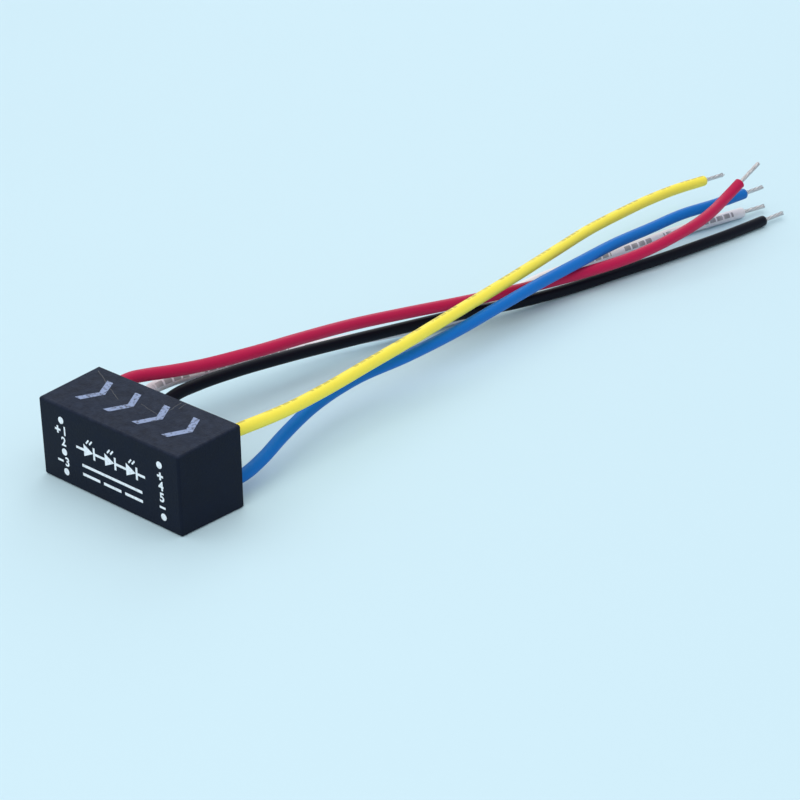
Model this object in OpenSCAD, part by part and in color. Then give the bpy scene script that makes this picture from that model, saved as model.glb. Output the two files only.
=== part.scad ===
// Small potted LED driver module with five flying leads.
// It lies on one long side, label face towards -Y, leads leaving the open rear towards +Y.
// Millimetres. Origin at the middle of the case's bottom, +X along the case, +Z up.

/* [Case] */
// Length of the case at its open rear
case_l = 22.6; // [22:0.1:30]
// Depth of the case from the label face to the open rear
case_d = 8.9; // [8:0.1:12]
// Height of the case at its open rear, as it lies
case_h = 9.9; // [9.2:0.1:14]
// Thickness of the side walls
wall = 0.6; // [0.5:0.05:0.8]
// Thickness of the label wall
label_wall = 0.8; // [0.5:0.05:1.2]
// Mould draft: how much each side narrows from the rear to the label face
draft = 0.22; // [0.1:0.02:0.4]
// Radius of the outer edges
edge_r = 0.3; // [0.2:0.05:0.55]
// Width of the square posts in the corners that carry the board
post_w = 1.3; // [0.8:0.1:1.4]

/* [Potting] */
// Depth of the resin's surface below the rim
resin_recess = 0.4; // [0.2:0.05:0.8]

/* [Board] */
// Thickness of the circuit board
board_t = 1; // [0.8:0.1:1.2]
// Depth of the board's rear face below the rim
board_recess = 1.85; // [1.6:0.05:2.4]
// Room between the board's edge and the case's walls
board_gap = 0.2; // [0.1:0.05:0.3]

/* [Leads] */
// Outer diameter of a lead
lead_d = 1.5; // [1.2:0.05:1.6]
// Diameter of a lead's stranded core
core_d = 0.6; // [0.5:0.05:0.8]
// Bare length at the far end of a lead
strip_l = 4.5; // [3:0.5:8]
// Distance from the case's end to the input leads
input_inset = 3.9; // [3.6:0.1:4.4]
// Distance from the case's end to the output leads
output_inset = 3; // [2.8:0.1:3.6]
// Distance from the case's top to the upper output lead
upper_lead_inset = 2.4; // [2.3:0.1:2.7]
// Height of the middle lead above the case's bottom
middle_lead_z = 4.2; // [4:0.1:4.8]
// Height of the lower leads above the case's bottom
lower_lead_z = 1.6; // [1.6:0.05:2]
// Length of a core's inner end past the front of the board
core_end_l = 0.9; // [0.6:0.1:1.4]

/* [Solder] */
// Room between a core and the wall of its hole in the board
solder_gap = 0.1; // [0.05:0.01:0.15]
// Radius of a solder joint where it meets the board
solder_r = 0.55; // [0.5:0.05:0.8]
// Height of a solder joint
solder_h = 0.6; // [0.3:0.05:0.6]
// Room between the red lead's joint, in the board's corner, and the case's post
post_gap = 0.15; // [0.1:0.05:0.3]
// Width of board left above the red lead's joint
board_land = 0.1; // [0.05:0.05:0.3]

/* [Inductor] */
// Diameter of the drum core's flanges
drum_d = 6; // [4.5:0.1:6.4]
// Height of the drum core
drum_h = 3.8; // [3:0.1:4.2]
// Thickness of each flange
flange_t = 0.7; // [0.5:0.1:1]
// Diameter of the drum core's hub
hub_d = 2.6; // [2:0.1:3.2]
// Outer diameter of the winding
winding_d = 5.4; // [4:0.1:5.8]

/* [Driver chip] */
// Length of the driver chip's body
chip_l = 2.9; // [2.6:0.1:3.4]
// Width of the driver chip's body
chip_w = 1.6; // [1.4:0.1:1.8]
// Thickness of the driver chip's body
chip_h = 1.1; // [0.9:0.1:1.3]
// Gap between the chip's body and the board
chip_standoff = 0.1; // [0.05:0.01:0.15]
// Legs on each side of the chip
legs_per_side = 3; // [2:1:4]
// Width of a leg
leg_w = 0.4; // [0.3:0.05:0.45]
// Thickness of a leg
leg_t = 0.15; // [0.1:0.01:0.2]
// Reach of a leg from the body's side to its toe
leg_reach = 0.6; // [0.5:0.05:0.7]

/* [Diode] */
// Length of the diode's body
diode_l = 4.3; // [3.6:0.1:4.6]
// Width of the diode's body
diode_w = 2.6; // [1.8:0.1:2.8]
// Thickness of the diode's body
diode_h = 2; // [1.6:0.1:2.4]
// Width of a diode tab
tab_w = 1.4; // [1:0.1:1.6]
// Thickness of a diode tab
tab_t = 0.2; // [0.1:0.05:0.25]
// Length of a diode tab's foot under the body
tab_foot = 1; // [0.6:0.1:1.2]

/* [Chip capacitors and resistors] */
// Length of a capacitor
capacitor_l = 3.2; // [2:0.1:3.4]
// Width of a capacitor
capacitor_w = 1.6; // [1.2:0.1:1.6]
// Thickness of a capacitor
capacitor_h = 1.6; // [0.8:0.1:1.8]
// Length of a sense resistor
sense_l = 2; // [1.6:0.1:2.2]
// Width of a sense resistor
sense_w = 1.25; // [0.8:0.05:1.3]
// Thickness of a resistor or a small dimming part
resistor_h = 0.5; // [0.4:0.05:0.6]
// Distance between the two sense resistors
sense_pitch = 2.2; // [1.8:0.1:2.6]
// Length of a small dimming part
dimming_l = 1.6; // [1.4:0.1:1.8]
// Width of a small dimming part
dimming_w = 0.8; // [0.6:0.05:0.9]
// Distance between neighbouring dimming parts
dimming_pitch = 1.6; // [1.3:0.1:1.8]
// Length of a metal end cap on a capacitor or resistor
end_cap = 0.4; // [0.25:0.05:0.45]

/* [Hidden] */

// Depth positions, from the label face at the front to the rim at the rear
label_y = -case_d / 2;
rim_y = case_d / 2;
floor_y = label_y + label_wall;
resin_y = rim_y - resin_recess;
board_rear_y = rim_y - board_recess;
board_front_y = board_rear_y - board_t;

// The case's height at the label face: the bottom lies flat, so the top takes both sides' draft
front_h = case_h - 2 * draft;

// The board clears the drafted cavity at the depth of its front face, where it seats on the posts
board_draft = draft * (rim_y - board_front_y) / case_d;
board_l = case_l - 2 * (wall + board_draft + board_gap);
board_low_z = wall + board_gap;
board_top_z = case_h - 2 * board_draft - wall - board_gap;
board_mid_z = (board_low_z + board_top_z) / 2;

// Lead places on the board: the input leads on the left, the output leads on the right
red_x = -case_l / 2 + wall + post_w + post_gap + solder_r;
red_z = board_top_z - board_land - solder_r;
input_x = -case_l / 2 + input_inset;
output_x = case_l / 2 - output_inset;
upper_lead_z = case_h - upper_lead_inset;
lead_r = lead_d / 2;
core_r = core_d / 2;
lead_places = [
    [red_x, red_z], [input_x, middle_lead_z], [input_x, lower_lead_z],
    [output_x, upper_lead_z], [output_x, lower_lead_z]
];

// Parts between the two columns of leads share the spare length evenly
diode_span = diode_l + 2 * tab_t;
spare_l = (output_x - input_x - 2 * solder_r - diode_span - drum_d) / 3;
diode_x = input_x + solder_r + spare_l + diode_span / 2;
drum_x = output_x - solder_r - spare_l - drum_d / 2;

// The diode lies below the driver chip, with the spare height shared in the same way
chip_span = chip_w + 2 * leg_reach;
spare_h = (board_top_z - board_low_z - diode_w - chip_span) / 3;
diode_z = board_low_z + spare_h + diode_w / 2;
chip_z = board_top_z - spare_h - chip_span / 2;
leg_pitch = chip_l / legs_per_side;

// The input capacitor stands between the input leads and the board's end
input_capacitor_x = (input_x - solder_r - board_l / 2) / 2;
output_capacitor_z = (upper_lead_z + lower_lead_z) / 2;

// Rows of small parts on the rear of the board, over the inductor and over the driver chip
sense_x = drum_x;
dimming_x = diode_x;
dimming_count = 3;

// Lead routes from where a lead turns away from its straight exit to the end of its insulation
straight_out = 0.6;
red_bends = [
    [-8.7, 7, 8.3], [-8.3, 9, 8.1], [-7.6, 11.5, 7.8], [-6.6, 15, 7.5], [-4.1, 21, 7.8],
    [-3.4, 29, 7.2], [-3.3, 38, 6], [-2.4, 47, 4.8], [-0.8, 56, 3.8], [1.3, 65, 3.2], [3.8, 74, 3.1],
    [6.4, 83, 3.6], [7.7, 91, 4.5], [7.7, 98, 5.2], [7, 104.5, 6.4], [7.2, 106.8, 7.5]
];
white_bends = [
    [-8.2, 7.5, 4.8], [-9.2, 10, 5.5], [-9.4, 13, 5.5], [-9.4, 17, 5], [-9.3, 21, 4.5],
    [-8.7, 29, 3.3], [-7.8, 38, 2], [-5.4, 47, 1.2], [-2.9, 56, 0.8], [-2.4, 65, 0.8], [-2.4, 74, 0.8],
    [-1.1, 83, 0.8], [0.3, 91, 0.8], [1.3, 98, 0.8], [2.7, 104.5, 0.8], [4.5, 112.3, 0.8]
];
black_bends = [
    [-7.6, 7.5, 2.4], [-7.8, 10, 3.7], [-7.8, 12.5, 4.4], [-7.7, 16, 4.5], [-7.2, 21, 4.4],
    [-6, 29, 4], [-4.8, 38, 3.2], [-3.2, 47, 2.5], [-1.1, 56, 2], [1, 65, 1.2], [2.7, 74, 0.8],
    [4.4, 83, 0.8], [5.9, 91, 0.8], [7, 98, 0.8], [7.9, 104.5, 0.8], [8.6, 111.5, 0.8]
];
yellow_bends = [
    [8.4, 8, 7.4], [8.4, 11, 7.2], [8.3, 15, 7], [7.9, 21, 6.9], [7, 29, 6.8],
    [6, 38, 6.7], [4.8, 47, 6.6], [3.5, 56, 6.4], [2, 65, 6.1], [0.4, 74, 5.8],
    [-1, 83, 5.6], [-1.8, 91, 5.3], [-2.2, 98, 5.1], [-2.1, 104.5, 4.9], [-1.5, 111, 4.6]
];
blue_bends = [
    [8.2, 8, 1.7], [7.7, 11, 2.1], [6.8, 15, 2.9], [5.7, 21, 3.9], [5, 29, 4.4],
    [5.4, 38, 4.4], [5.5, 47, 4.6], [5, 56, 4.8], [4.4, 65, 4.9], [3.8, 74, 4.8],
    [3.2, 83, 4.6], [3.1, 91, 4.3], [3.7, 98, 4.5], [4.8, 104.5, 4.4], [5.3, 111.1, 4.2]
];

// A lead starts on the rear of the board and goes straight out of the resin before its first bend
function route(place, bends) = concat(
    [[place[0], board_rear_y, place[1]], [place[0], rim_y + straight_out, place[1]]], bends
);
red_route = route(lead_places[0], red_bends);
white_route = route(lead_places[1], white_bends);
black_route = route(lead_places[2], black_bends);
yellow_route = route(lead_places[3], yellow_bends);
blue_route = route(lead_places[4], blue_bends);

// Sides of a swept lead and of its hole in the resin
lead_sides = 8;
// Smoothness of true round shapes and of the case's rounded edges
round_fn = 48;
edge_fn = 32;
// Overrun of cuts that pass through a face
over = 1;

// Direction of a route at point i: along the ends, and between the neighbours elsewhere
function unit(v) = v / norm(v);
function heading(path, i) =
    i == 0 ? unit(path[1] - path[0]) :
    i == len(path) - 1 ? unit(path[i] - path[i - 1]) :
    unit(unit(path[i] - path[i - 1]) + unit(path[i + 1] - path[i]));
function ring(path, i, r) =
    let (
        along = heading(path, i),
        side = unit(cross(along, [0, 0, 1])),
        rise = cross(side, along)
    )
    [for (k = [0 : lead_sides - 1])
        path[i] + r * (cos(360 * k / lead_sides) * side + sin(360 * k / lead_sides) * rise)];

// Tube swept along a route, closed at both ends
module swept_tube(path, r) {
    last = len(path) - 1;
    points = [for (i = [0 : last]) each ring(path, i, r)];
    walls = [for (i = [0 : last - 1], k = [0 : lead_sides - 1])
        let (next = (k + 1) % lead_sides)
        each [
            [i * lead_sides + k, i * lead_sides + next, (i + 1) * lead_sides + next],
            [i * lead_sides + k, (i + 1) * lead_sides + next, (i + 1) * lead_sides + k]
        ]];
    start_face = [for (k = [lead_sides - 1 : -1 : 0]) k];
    end_face = [for (k = [0 : lead_sides - 1]) last * lead_sides + k];
    polyhedron(points, concat(walls, [start_face, end_face]));
}

// Turns the +Z axis onto a direction, and moves to a point
module aim(point, direction) {
    lean = acos(direction[2] / norm(direction));
    turn = atan2(direction[1], direction[0]);
    translate(point) rotate([0, lean, turn]) children();
}

// Places a part on the board: its own height runs away from the board's front or rear face
module on_front(x, z) {
    translate([x, board_front_y, z]) rotate([90, 0, 0]) children();
}
module on_rear(x, z) {
    translate([x, board_rear_y, z]) rotate([-90, 0, 0]) children();
}

// Outer form of the case: rounded corners at the label face, widening to the rim
module case_form() {
    front_x = case_l / 2 - draft - edge_r;
    rear_x = case_l / 2 - edge_r;
    rim_slice = 0.1;
    hull() {
        for (x = [-front_x, front_x], z = [edge_r, front_h - edge_r])
            translate([x, label_y + edge_r, z]) sphere(edge_r, $fn = edge_fn);
        for (x = [-rear_x, rear_x], z = [edge_r, case_h - edge_r])
            translate([x, rim_y, z]) rotate([90, 0, 0]) cylinder(rim_slice, r = edge_r, $fn = edge_fn);
    }
}

// Cavity from the inside of the label wall up to a level, with the same draft as the outside
module cavity(level_y) {
    slope = draft / case_d;
    function half_l(y) = case_l / 2 - wall - slope * (rim_y - y);
    function top_z(y) = case_h - wall - 2 * slope * (rim_y - y);
    intersection() {
        linear_extrude(case_h)
            polygon([
                [-half_l(floor_y), floor_y], [half_l(floor_y), floor_y],
                [half_l(level_y), level_y], [-half_l(level_y), level_y]
            ]);
        translate([-case_l / 2, 0, 0]) rotate([90, 0, 90]) linear_extrude(case_l)
            polygon([
                [floor_y, wall], [level_y, wall], [level_y, top_z(level_y)], [floor_y, top_z(floor_y)]
            ]);
    }
}

// Corner posts that the board seats on; they are part of the case
module board_posts() {
    post_x = case_l / 2 - wall - post_w;
    low_z = wall + post_w;
    top_z = front_h - wall - post_w;
    depth = board_front_y - floor_y + over;
    for (side = [0, 1]) mirror([side, 0, 0]) {
        translate([post_x, floor_y - over, low_z - 2 * post_w]) cube([2 * post_w, depth, 2 * post_w]);
        translate([post_x, floor_y - over, top_z]) cube([2 * post_w, depth, 2 * post_w]);
    }
}

// Chip part with two end caps, lying along its own X
module chip_body(l, w, h) {
    translate([-l / 2 + end_cap, -w / 2, 0]) cube([l - 2 * end_cap, w, h]);
}
module chip_ends(l, w, h) {
    for (x = [-l / 2, l / 2 - end_cap]) translate([x, -w / 2, 0]) cube([end_cap, w, h]);
}

// Places of the chip parts: capacitors stand upright on the front, resistors lie on the rear
module at_input_capacitor() {
    on_front(input_capacitor_x, board_mid_z) rotate(90) children();
}
module at_output_capacitor() {
    on_front(output_x, output_capacitor_z) rotate(90) children();
}
module at_sense_resistors() {
    for (s = [-1, 1]) on_rear(sense_x, board_mid_z + s * sense_pitch / 2) children();
}
module at_dimming_parts() {
    for (i = [0 : dimming_count - 1])
        on_rear(dimming_x, board_mid_z + (i - (dimming_count - 1) / 2) * dimming_pitch) children();
}

module case() {
    color("#1c1d21")
        difference() {
            case_form();
            difference() {
                cavity(rim_y + over);
                board_posts();
            }
        }
}

// The board before its holes are drilled
module board_blank() {
    translate([-board_l / 2, board_front_y, board_low_z])
        cube([board_l, board_t, board_top_z - board_low_z]);
}

module circuit_board() {
    color("#1f6b3a")
        difference() {
            board_blank();
            for (p = lead_places)
                translate([p[0], board_front_y - over, p[1]]) rotate([-90, 0, 0])
                    cylinder(board_t + 2 * over, r = core_r + solder_gap, $fn = round_fn);
        }
}

module inductor_core() {
    color("#35353a")
        on_front(drum_x, board_mid_z)
            rotate_extrude($fn = round_fn)
                polygon([
                    [0, 0], [drum_d / 2, 0], [drum_d / 2, flange_t], [hub_d / 2, flange_t],
                    [hub_d / 2, drum_h - flange_t], [drum_d / 2, drum_h - flange_t],
                    [drum_d / 2, drum_h], [0, drum_h]
                ]);
}

module inductor_winding() {
    color("#b5651d")
        on_front(drum_x, board_mid_z)
            rotate_extrude($fn = round_fn)
                translate([hub_d / 2, flange_t])
                    square([(winding_d - hub_d) / 2, drum_h - 2 * flange_t]);
}

module driver_chip() {
    color("#202124")
        on_front(diode_x, chip_z)
            translate([-chip_l / 2, -chip_w / 2, chip_standoff]) cube([chip_l, chip_w, chip_h]);
}

// Gull-wing legs: out of the body at half its height, down, and flat along the board
module driver_chip_legs() {
    body_y = chip_w / 2;
    toe_y = body_y + leg_reach;
    knee_y = body_y + leg_reach / 3;
    root_z = chip_standoff + chip_h / 2;
    color("#c9ccd1")
        on_front(diode_x, chip_z)
            for (side = [0, 1], i = [0 : legs_per_side - 1])
                rotate(180 * side)
                    translate([(i - (legs_per_side - 1) / 2) * leg_pitch - leg_w / 2, 0, 0])
                        rotate([90, 0, 90]) linear_extrude(leg_w)
                            polygon([
                                [body_y, root_z - leg_t], [knee_y - leg_t, root_z - leg_t],
                                [knee_y, 0], [toe_y, 0], [toe_y, leg_t], [knee_y + leg_t, leg_t],
                                [knee_y, root_z], [body_y, root_z]
                            ]);
}

module freewheel_diode() {
    color("#202124")
        on_front(diode_x, diode_z)
            translate([-diode_l / 2, -diode_w / 2, tab_t]) cube([diode_l, diode_w, diode_h]);
}

// Tabs that come out of the diode's ends at half its height and fold in under it
module diode_tabs() {
    color("#c9ccd1")
        on_front(diode_x, diode_z)
            for (side = [0, 1]) rotate(180 * side)
                translate([0, tab_w / 2, 0]) rotate([90, 0, 0]) linear_extrude(tab_w)
                    polygon([
                        [diode_l / 2 - tab_foot, 0], [diode_span / 2, 0],
                        [diode_span / 2, tab_t + diode_h / 2], [diode_l / 2, tab_t + diode_h / 2],
                        [diode_l / 2, tab_t], [diode_l / 2 - tab_foot, tab_t]
                    ]);
}

module input_capacitor() {
    color("#a88a5c") at_input_capacitor() chip_body(capacitor_l, capacitor_w, capacitor_h);
}

module output_capacitor() {
    color("#a88a5c") at_output_capacitor() chip_body(capacitor_l, capacitor_w, capacitor_h);
}

module sense_resistors() {
    color("#26272b") at_sense_resistors() chip_body(sense_l, sense_w, resistor_h);
}

module dimming_parts() {
    color("#4a4038") at_dimming_parts() chip_body(dimming_l, dimming_w, resistor_h);
}

module chip_end_caps() {
    color("#d0d2d6") {
        at_input_capacitor() chip_ends(capacitor_l, capacitor_w, capacitor_h);
        at_output_capacitor() chip_ends(capacitor_l, capacitor_w, capacitor_h);
        at_sense_resistors() chip_ends(sense_l, sense_w, resistor_h);
        at_dimming_parts() chip_ends(dimming_l, dimming_w, resistor_h);
    }
}

// Inner ends of the stranded cores, through the board to its front
module lead_cores() {
    color("#c9a27a")
        for (p = lead_places)
            translate([p[0], board_front_y - core_end_l, p[1]]) rotate([-90, 0, 0])
                cylinder(core_end_l + board_t, r = core_r, $fn = round_fn);
}

// Solder fills the hole round each core and stands as a cone on the front of the board
module solder_joints() {
    color("#b9bdc4")
        for (p = lead_places)
            on_front(p[0], p[1])
                rotate_extrude($fn = round_fn)
                    polygon([
                        [core_r, -board_t], [core_r + solder_gap, -board_t], [core_r + solder_gap, 0],
                        [solder_r, 0], [core_r + solder_gap, solder_h], [core_r, solder_h]
                    ]);
}

// Resin fills the cavity round the board, its parts and the leads; solder keeps it out of the board's holes
module potting() {
    color("#2a2b30")
        difference() {
            cavity(resin_y);
            board_posts();
            board_blank();
            inductor_core();
            inductor_winding();
            driver_chip();
            driver_chip_legs();
            freewheel_diode();
            diode_tabs();
            input_capacitor();
            output_capacitor();
            sense_resistors();
            dimming_parts();
            chip_end_caps();
            lead_cores();
            solder_joints();
            for (p = lead_places)
                translate([p[0], board_rear_y, p[1]]) rotate([-90, 0, 0])
                    cylinder(board_recess, r = lead_r, $fn = lead_sides);
        }
}

// Bare stranded end, in line with the last stretch of its lead
module lead_tip(path) {
    last = len(path) - 1;
    aim(path[last], path[last] - path[last - 1]) cylinder(strip_l, r = core_r, $fn = round_fn);
}

module red_lead() {
    color("#b0204e") swept_tube(red_route, lead_r);
}
module white_lead() {
    color("#dcd8e0") swept_tube(white_route, lead_r);
}
module black_lead() {
    color("#14161c") swept_tube(black_route, lead_r);
}
module yellow_lead() {
    color("#f2dc3c") swept_tube(yellow_route, lead_r);
}
module blue_lead() {
    color("#1d66b8") swept_tube(blue_route, lead_r);
}

module red_lead_tip() {
    color("#c3c6cb") lead_tip(red_route);
}
module white_lead_tip() {
    color("#c3c6cb") lead_tip(white_route);
}
module black_lead_tip() {
    color("#c3c6cb") lead_tip(black_route);
}
module yellow_lead_tip() {
    color("#c3c6cb") lead_tip(yellow_route);
}
module blue_lead_tip() {
    color("#c3c6cb") lead_tip(blue_route);
}

case();
potting();
circuit_board();
inductor_core();
inductor_winding();
driver_chip();
driver_chip_legs();
freewheel_diode();
diode_tabs();
input_capacitor();
output_capacitor();
sense_resistors();
dimming_parts();
chip_end_caps();
lead_cores();
solder_joints();
red_lead();
white_lead();
black_lead();
yellow_lead();
blue_lead();
red_lead_tip();
white_lead_tip();
black_lead_tip();
yellow_lead_tip();
blue_lead_tip();
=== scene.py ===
"""Small potted LED driver module with five flying leads, as it lies on a pale table. Metres."""
import math
import random

import bmesh
import bpy
from mathutils import Matrix, Vector


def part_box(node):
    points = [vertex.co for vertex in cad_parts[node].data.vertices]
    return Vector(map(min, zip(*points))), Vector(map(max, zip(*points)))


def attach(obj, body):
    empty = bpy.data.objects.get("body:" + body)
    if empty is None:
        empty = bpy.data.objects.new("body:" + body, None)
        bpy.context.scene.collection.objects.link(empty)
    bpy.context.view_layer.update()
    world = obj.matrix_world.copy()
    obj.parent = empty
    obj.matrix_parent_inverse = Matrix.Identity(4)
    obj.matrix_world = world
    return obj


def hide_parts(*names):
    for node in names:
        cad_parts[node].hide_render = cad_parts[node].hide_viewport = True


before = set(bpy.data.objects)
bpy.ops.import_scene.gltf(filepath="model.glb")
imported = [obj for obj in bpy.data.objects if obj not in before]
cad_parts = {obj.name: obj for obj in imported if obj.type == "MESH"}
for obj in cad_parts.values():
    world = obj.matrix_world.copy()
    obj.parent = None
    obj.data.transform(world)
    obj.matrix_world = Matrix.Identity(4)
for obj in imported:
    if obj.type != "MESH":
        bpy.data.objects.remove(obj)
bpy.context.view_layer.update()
MM = 0.001

# Circuit board
# Glass-epoxy laminate under green solder resist, routed to drop into the case and sit on its corner posts.
# It carries all the parts and the inner ends of the leads, and the resin hides it for good.


def add_node(tree, kind, inputs=None, **settings):
    """Adds a node to a tree. An input is a plain value or another node's output."""
    node = tree.nodes.new(kind)
    for key, value in settings.items():
        setattr(node, key, value)
    for socket, value in (inputs or {}).items():
        if isinstance(value, bpy.types.NodeSocket):
            tree.links.new(value, node.inputs[socket])
        else:
            node.inputs[socket].default_value = value
    return node


def maths(tree, operation, first, second=0.0, third=0.0):
    """Output of a Math node."""
    node = add_node(tree, "ShaderNodeMath", {0: first, 1: second, 2: third}, operation=operation)
    return node.outputs[0]


def start_group(name, inputs, outputs):
    """A shader node group with named sockets. Returns the group and its inner input and output nodes."""
    kinds = {"value": "NodeSocketFloat", "colour": "NodeSocketColor", "vector": "NodeSocketVector"}
    group = bpy.data.node_groups.new(name, "ShaderNodeTree")
    for socket, kind in inputs.items():
        group.interface.new_socket(name=socket, in_out="INPUT", socket_type=kinds[kind])
    for socket, kind in outputs.items():
        group.interface.new_socket(name=socket, in_out="OUTPUT", socket_type=kinds[kind])
    return group, group.nodes.new("NodeGroupInput"), group.nodes.new("NodeGroupOutput")


def make_worked_surface():
    """Fine grain and broad patches: they vary the colour and the roughness, and give a height for bump."""
    group, given, result = start_group(
        "worked_surface",
        {
            "Position": "vector", "Grain": "value", "Patch": "value", "Colour": "colour",
            "Colour Spread": "value", "Roughness": "value", "Roughness Spread": "value",
        },
        {"Color": "colour", "Roughness": "value", "Height": "value"},
    )
    fields = {}
    for size in ("Grain", "Patch"):
        scale = maths(group, "DIVIDE", 1.0, given.outputs[size])
        noise = add_node(
            group, "ShaderNodeTexNoise",
            {"Vector": given.outputs["Position"], "Scale": scale, "Detail": 3.0},
        )
        fields[size] = maths(group, "SUBTRACT", noise.outputs["Fac"], 0.5)
    both = maths(group, "ADD", fields["Grain"], fields["Patch"])
    swing = maths(group, "MULTIPLY_ADD", both, given.outputs["Colour Spread"], 1.0)
    shaded = add_node(
        group, "ShaderNodeHueSaturation", {"Color": given.outputs["Colour"], "Value": swing}
    )
    roughness = maths(
        group, "MULTIPLY_ADD", both, given.outputs["Roughness Spread"], given.outputs["Roughness"]
    )
    group.links.new(shaded.outputs["Color"], result.inputs["Color"])
    group.links.new(roughness, result.inputs["Roughness"])
    group.links.new(both, result.inputs["Height"])
    return group


worked_surface = make_worked_surface()


def finish_material(
    name, colour, roughness, grain, patch, spread=(0.25, 0.15), bump=0.0, fixed=None, uv=False
):
    """A material on the worked surface group. Grain, patch and bump are sizes in millimetres, spread is how
    far colour and roughness vary, fixed holds plain values of the shader, and uv follows a lead's length.
    Returns the material, its surface node and its shader."""
    material = bpy.data.materials.new(name)
    material.use_nodes = True
    tree = material.node_tree
    shader = tree.nodes["Principled BSDF"]
    for socket, value in (fixed or {}).items():
        shader.inputs[socket].default_value = value
    if uv:
        position = add_node(tree, "ShaderNodeUVMap", uv_map="along").outputs["UV"]
    else:
        position = add_node(tree, "ShaderNodeTexCoord").outputs["Object"]
    unit = 1.0 if uv else MM
    surface = add_node(
        tree, "ShaderNodeGroup",
        {
            "Position": position, "Grain": grain * unit, "Patch": patch * unit, "Colour": (*colour, 1.0),
            "Colour Spread": spread[0], "Roughness": roughness, "Roughness Spread": spread[1],
        },
        node_tree=worked_surface,
    )
    tree.links.new(surface.outputs["Color"], shader.inputs["Base Color"])
    tree.links.new(surface.outputs["Roughness"], shader.inputs["Roughness"])
    if bump:
        relief = add_node(
            tree, "ShaderNodeBump",
            {"Strength": 1.0, "Distance": bump * MM, "Height": surface.outputs["Height"]},
        )
        tree.links.new(relief.outputs["Normal"], shader.inputs["Normal"])
    return material, surface, shader


def dress(node, material):
    """Gives a CAD node its finish."""
    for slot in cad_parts[node].material_slots:
        slot.material = material


solder_resist, _, _ = finish_material(
    "solder_resist", colour=(0.015, 0.12, 0.04), roughness=0.32, grain=0.35, patch=2.5, bump=0.01
)
dress("circuit_board", solder_resist)

# Lead cores and their solder joints
# Inner ends of the five stranded copper cores, pushed through plated holes in the board.
# Each is held by a cone of solder that has wetted the strands and the pad.
bare_metal = {"Metallic": 1.0}
drawn_copper, _, _ = finish_material(
    "drawn_copper", colour=(0.62, 0.34, 0.19), roughness=0.3, grain=0.15, patch=0.8, bump=0.01,
    fixed=bare_metal,
)
bright_solder, _, _ = finish_material(
    "bright_solder", colour=(0.5, 0.51, 0.54), roughness=0.22, grain=0.2, patch=0.6, bump=0.01,
    fixed=bare_metal,
)
dress("lead_cores", drawn_copper)
dress("solder_joints", bright_solder)

# Storage inductor
# A drum core of pressed and fired ferrite, glued to the board.
# Its winding is enamelled copper wire, laid in close turns between the two flanges.
ferrite, _, _ = finish_material(
    "ferrite", colour=(0.035, 0.035, 0.04), roughness=0.6, grain=0.12, patch=1.5, bump=0.012
)
enamelled_wire, _, wire_shader = finish_material(
    "enamelled_wire", colour=(0.42, 0.1, 0.03), roughness=0.25, grain=0.2, patch=1.0,
    fixed={"Metallic": 0.8},
)
turn_pitch = 0.3 * MM
turn_relief = 0.06 * MM
wire_tree = enamelled_wire.node_tree
wire_place = add_node(wire_tree, "ShaderNodeTexCoord").outputs["Object"]
wire_depth = add_node(wire_tree, "ShaderNodeSeparateXYZ", {"Vector": wire_place}).outputs["Y"]
wire_turn = maths(wire_tree, "MULTIPLY", wire_depth, math.tau / turn_pitch)
wire_relief = add_node(
    wire_tree, "ShaderNodeBump",
    {"Distance": turn_relief, "Height": maths(wire_tree, "SINE", wire_turn)},
)
wire_tree.links.new(wire_relief.outputs["Normal"], wire_shader.inputs["Normal"])
dress("inductor_core", ferrite)
dress("inductor_winding", enamelled_wire)

# Driver chip and freewheel diode
# Transfer-moulded black epoxy bodies with tin-plated legs and tabs, reflow-soldered to the board's front.
# The diode's tabs fold in under its body.
chip_epoxy, _, _ = finish_material(
    "chip_epoxy", colour=(0.014, 0.014, 0.016), roughness=0.5, grain=0.06, patch=0.7, bump=0.008
)
tin_plate, _, _ = finish_material(
    "tin_plate", colour=(0.6, 0.6, 0.62), roughness=0.3, grain=0.08, patch=0.5, bump=0.004,
    fixed=bare_metal,
)
for node in ("driver_chip", "freewheel_diode"):
    dress(node, chip_epoxy)
for node in ("driver_chip_legs", "diode_tabs"):
    dress(node, tin_plate)

# Chip capacitors and resistors
# Fired ceramic blocks and glazed resistor chips with tin-plated end caps, reflow-soldered by those caps.
# The capacitors stand on the board's front and the resistors lie on its rear.
chip_ceramic, _, _ = finish_material(
    "chip_ceramic", colour=(0.36, 0.22, 0.1), roughness=0.45, grain=0.06, patch=0.6, bump=0.005
)
resistor_glaze, _, _ = finish_material(
    "resistor_glaze", colour=(0.02, 0.018, 0.018), roughness=0.25, grain=0.08, patch=0.5, bump=0.004
)
for node in ("input_capacitor", "output_capacitor"):
    dress(node, chip_ceramic)
for node in ("sense_resistors", "dimming_parts"):
    dress(node, resistor_glaze)
dress("chip_end_caps", tin_plate)

# Case
# Box of black thermoplastic, injection moulded in one shot with a spark-eroded matt finish.
# Its sides are drafted towards the label face, the rim is open, and four corner posts carry the board.
case_low, case_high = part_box("case")
label_y = case_low.y
rim_y = case_high.y
case_d = rim_y - label_y
case_h = case_high.z
half_case_l = case_high.x
draft = 0.22 * MM
wall = 0.6 * MM
floor_t = 0.8 * MM
floor_y = label_y + floor_t
board_front_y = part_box("circuit_board")[0].y
edge_r = 0.3 * MM
inner_r = 0.12 * MM
rim_break = 0.07 * MM
post_w = 1.3 * MM
edge_steps = 8
weld_gap = 0.0001 * MM


def half_length(y):
    """Half the case's outer length at a depth."""
    return half_case_l - draft * (rim_y - y) / case_d


def top_height(y):
    """Height of the case's top at a depth: its bottom is flat, so the top takes both sides' draft."""
    return case_h - 2 * draft * (rim_y - y) / case_d


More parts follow.
